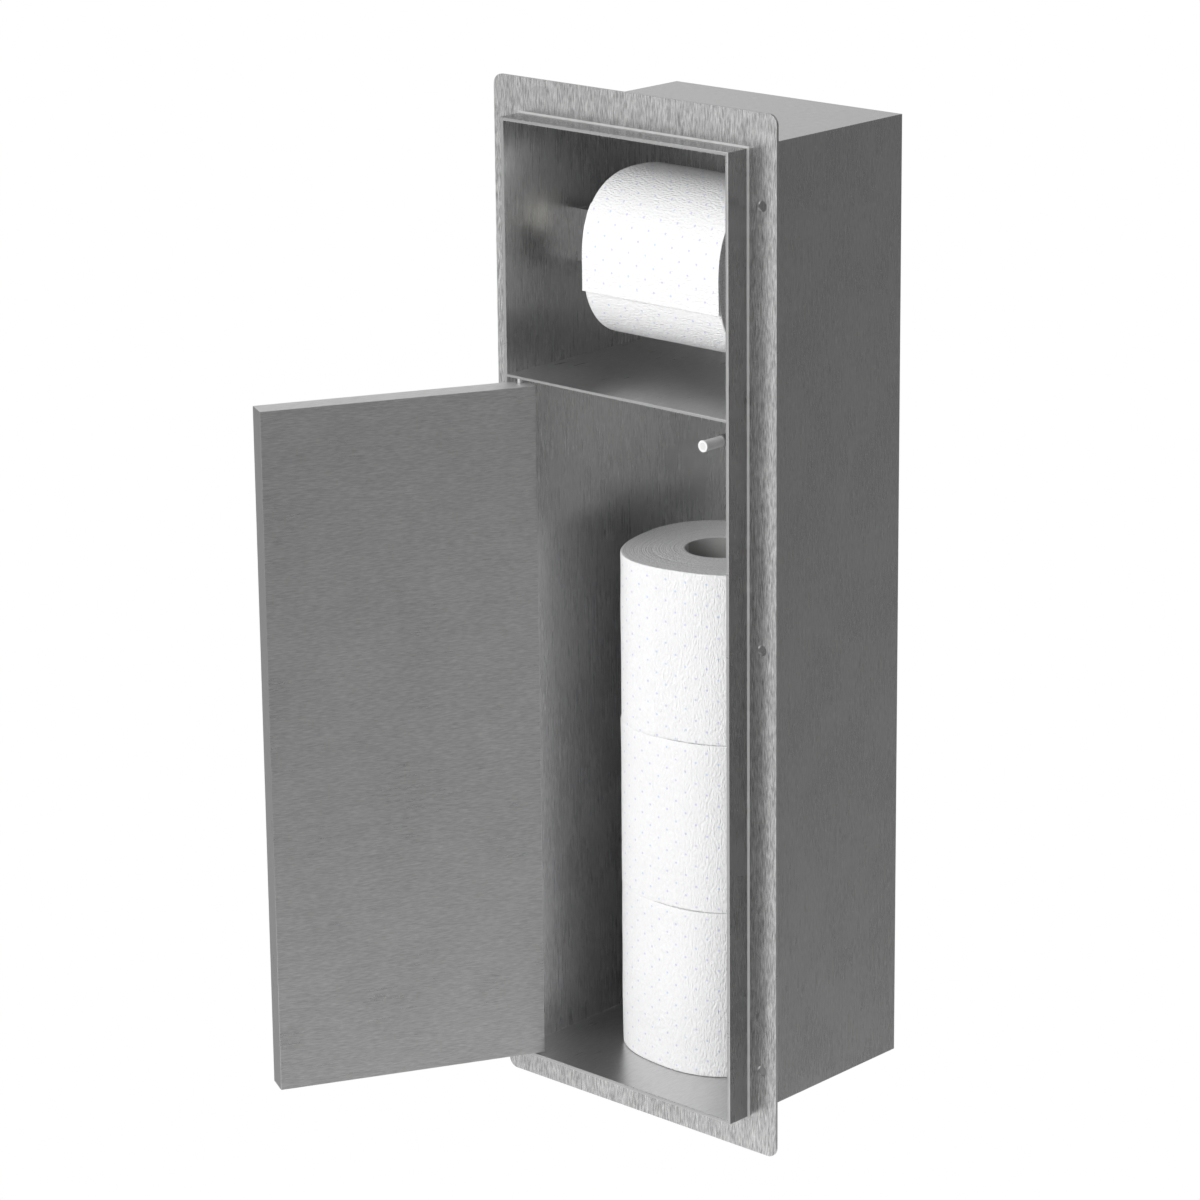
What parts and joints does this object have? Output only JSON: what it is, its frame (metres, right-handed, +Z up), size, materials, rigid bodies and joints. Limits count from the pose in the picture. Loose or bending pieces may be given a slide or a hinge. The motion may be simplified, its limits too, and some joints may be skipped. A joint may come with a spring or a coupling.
{
  "type": "recessed wall cabinet",
  "caption": "Recessed stainless steel washroom cabinet with a paper roll on a sprung spindle above a shelf and a hinged push-latch door over spare rolls.",
  "frame": {"origin": "middle of the six-hole screw pattern, in the rear face of the wall flange", "axes": "+X to the right as the user faces the cabinet, +Y back into the wall, +Z up"},
  "size_m": [0.2513, 0.2829, 0.59],
  "materials": {
    "stainless": "fine one-way brushed grain, satin",
    "bright_steel": "bright turned or ground steel",
    "spring_steel": "bright drawn wire",
    "nylon": "white nylon, matt",
    "white_tip": "white moulded plastic of the latch's rod and tip",
    "magnet": "plain grey magnet face",
    "tissue_paper": "soft white paper with a diagonal lattice of small pale dots",
    "cardboard": "grey-brown spiral-wound cardboard"
  },
  "bodies": {
    "cabinet": {"box_wrap": "stainless", "back_panel": "stainless", "wall_flange": "stainless", "flange_weld": "bright_steel", "shelf": "stainless", "upper_hinge_pin": "bright_steel", "lower_hinge_pin": "bright_steel", "lower_hinge_washer": "nylon", "latch_barrel": "bright_steel", "latch_saddle": "stainless", "latch_rivets": "bright_steel", "left_roll_bracket": "stainless", "right_roll_bracket": "stainless", "spindle_outer": "nylon", "spare_paper_1": "tissue_paper", "spare_paper_2": "tissue_paper", "spare_paper_3": "tissue_paper", "spare_core_1": "cardboard", "spare_core_2": "cardboard", "spare_core_3": "cardboard"},
    "door": {"door_pan": "stainless", "door_liner": "stainless", "door_stiffener": "stainless", "upper_hinge_block": "nylon", "lower_hinge_block": "nylon", "strike_plate": "bright_steel"},
    "plunger": {"latch_plunger": "white_tip", "latch_tip": "white_tip", "latch_magnet": "magnet", "latch_spring": "spring_steel"},
    "sliding_tube": {"spindle_inner": "nylon", "spindle_spring": "spring_steel"},
    "roll": {"roll_paper": "tissue_paper", "roll_core": "cardboard", "loose_sheet": "tissue_paper"}
  },
  "joints": [
    {"name": "door_hinge", "type": "hinge", "parent": "cabinet", "child": "door", "pos_m": [-0.0739, -0.014, 0], "axis": [0, 0, 1], "range_deg": [-3, 118]},
    {"name": "latch_slide", "type": "slide", "parent": "cabinet", "child": "plunger", "axis": [0, 1, 0], "range_m": [-0.0003, 0.0118], "deforming": ["latch_spring"]},
    {"name": "spindle_push", "type": "slide", "parent": "cabinet", "child": "sliding_tube", "axis": [-1, 0, 0], "range_m": [0, 0.008], "stiffness_N_per_m": 150, "springref_m": -0.01, "deforming": ["spindle_spring"]},
    {"name": "roll_spin", "type": "hinge", "parent": "cabinet", "child": "roll", "pos_m": [0, 0.0525, 0.1953], "axis": [1, 0, 0], "continuous": true}
  ],
  "couplings": [
    {"joint": "latch_slide", "follows": "door_hinge", "m_per_rad": 0.0057296}
  ]
}
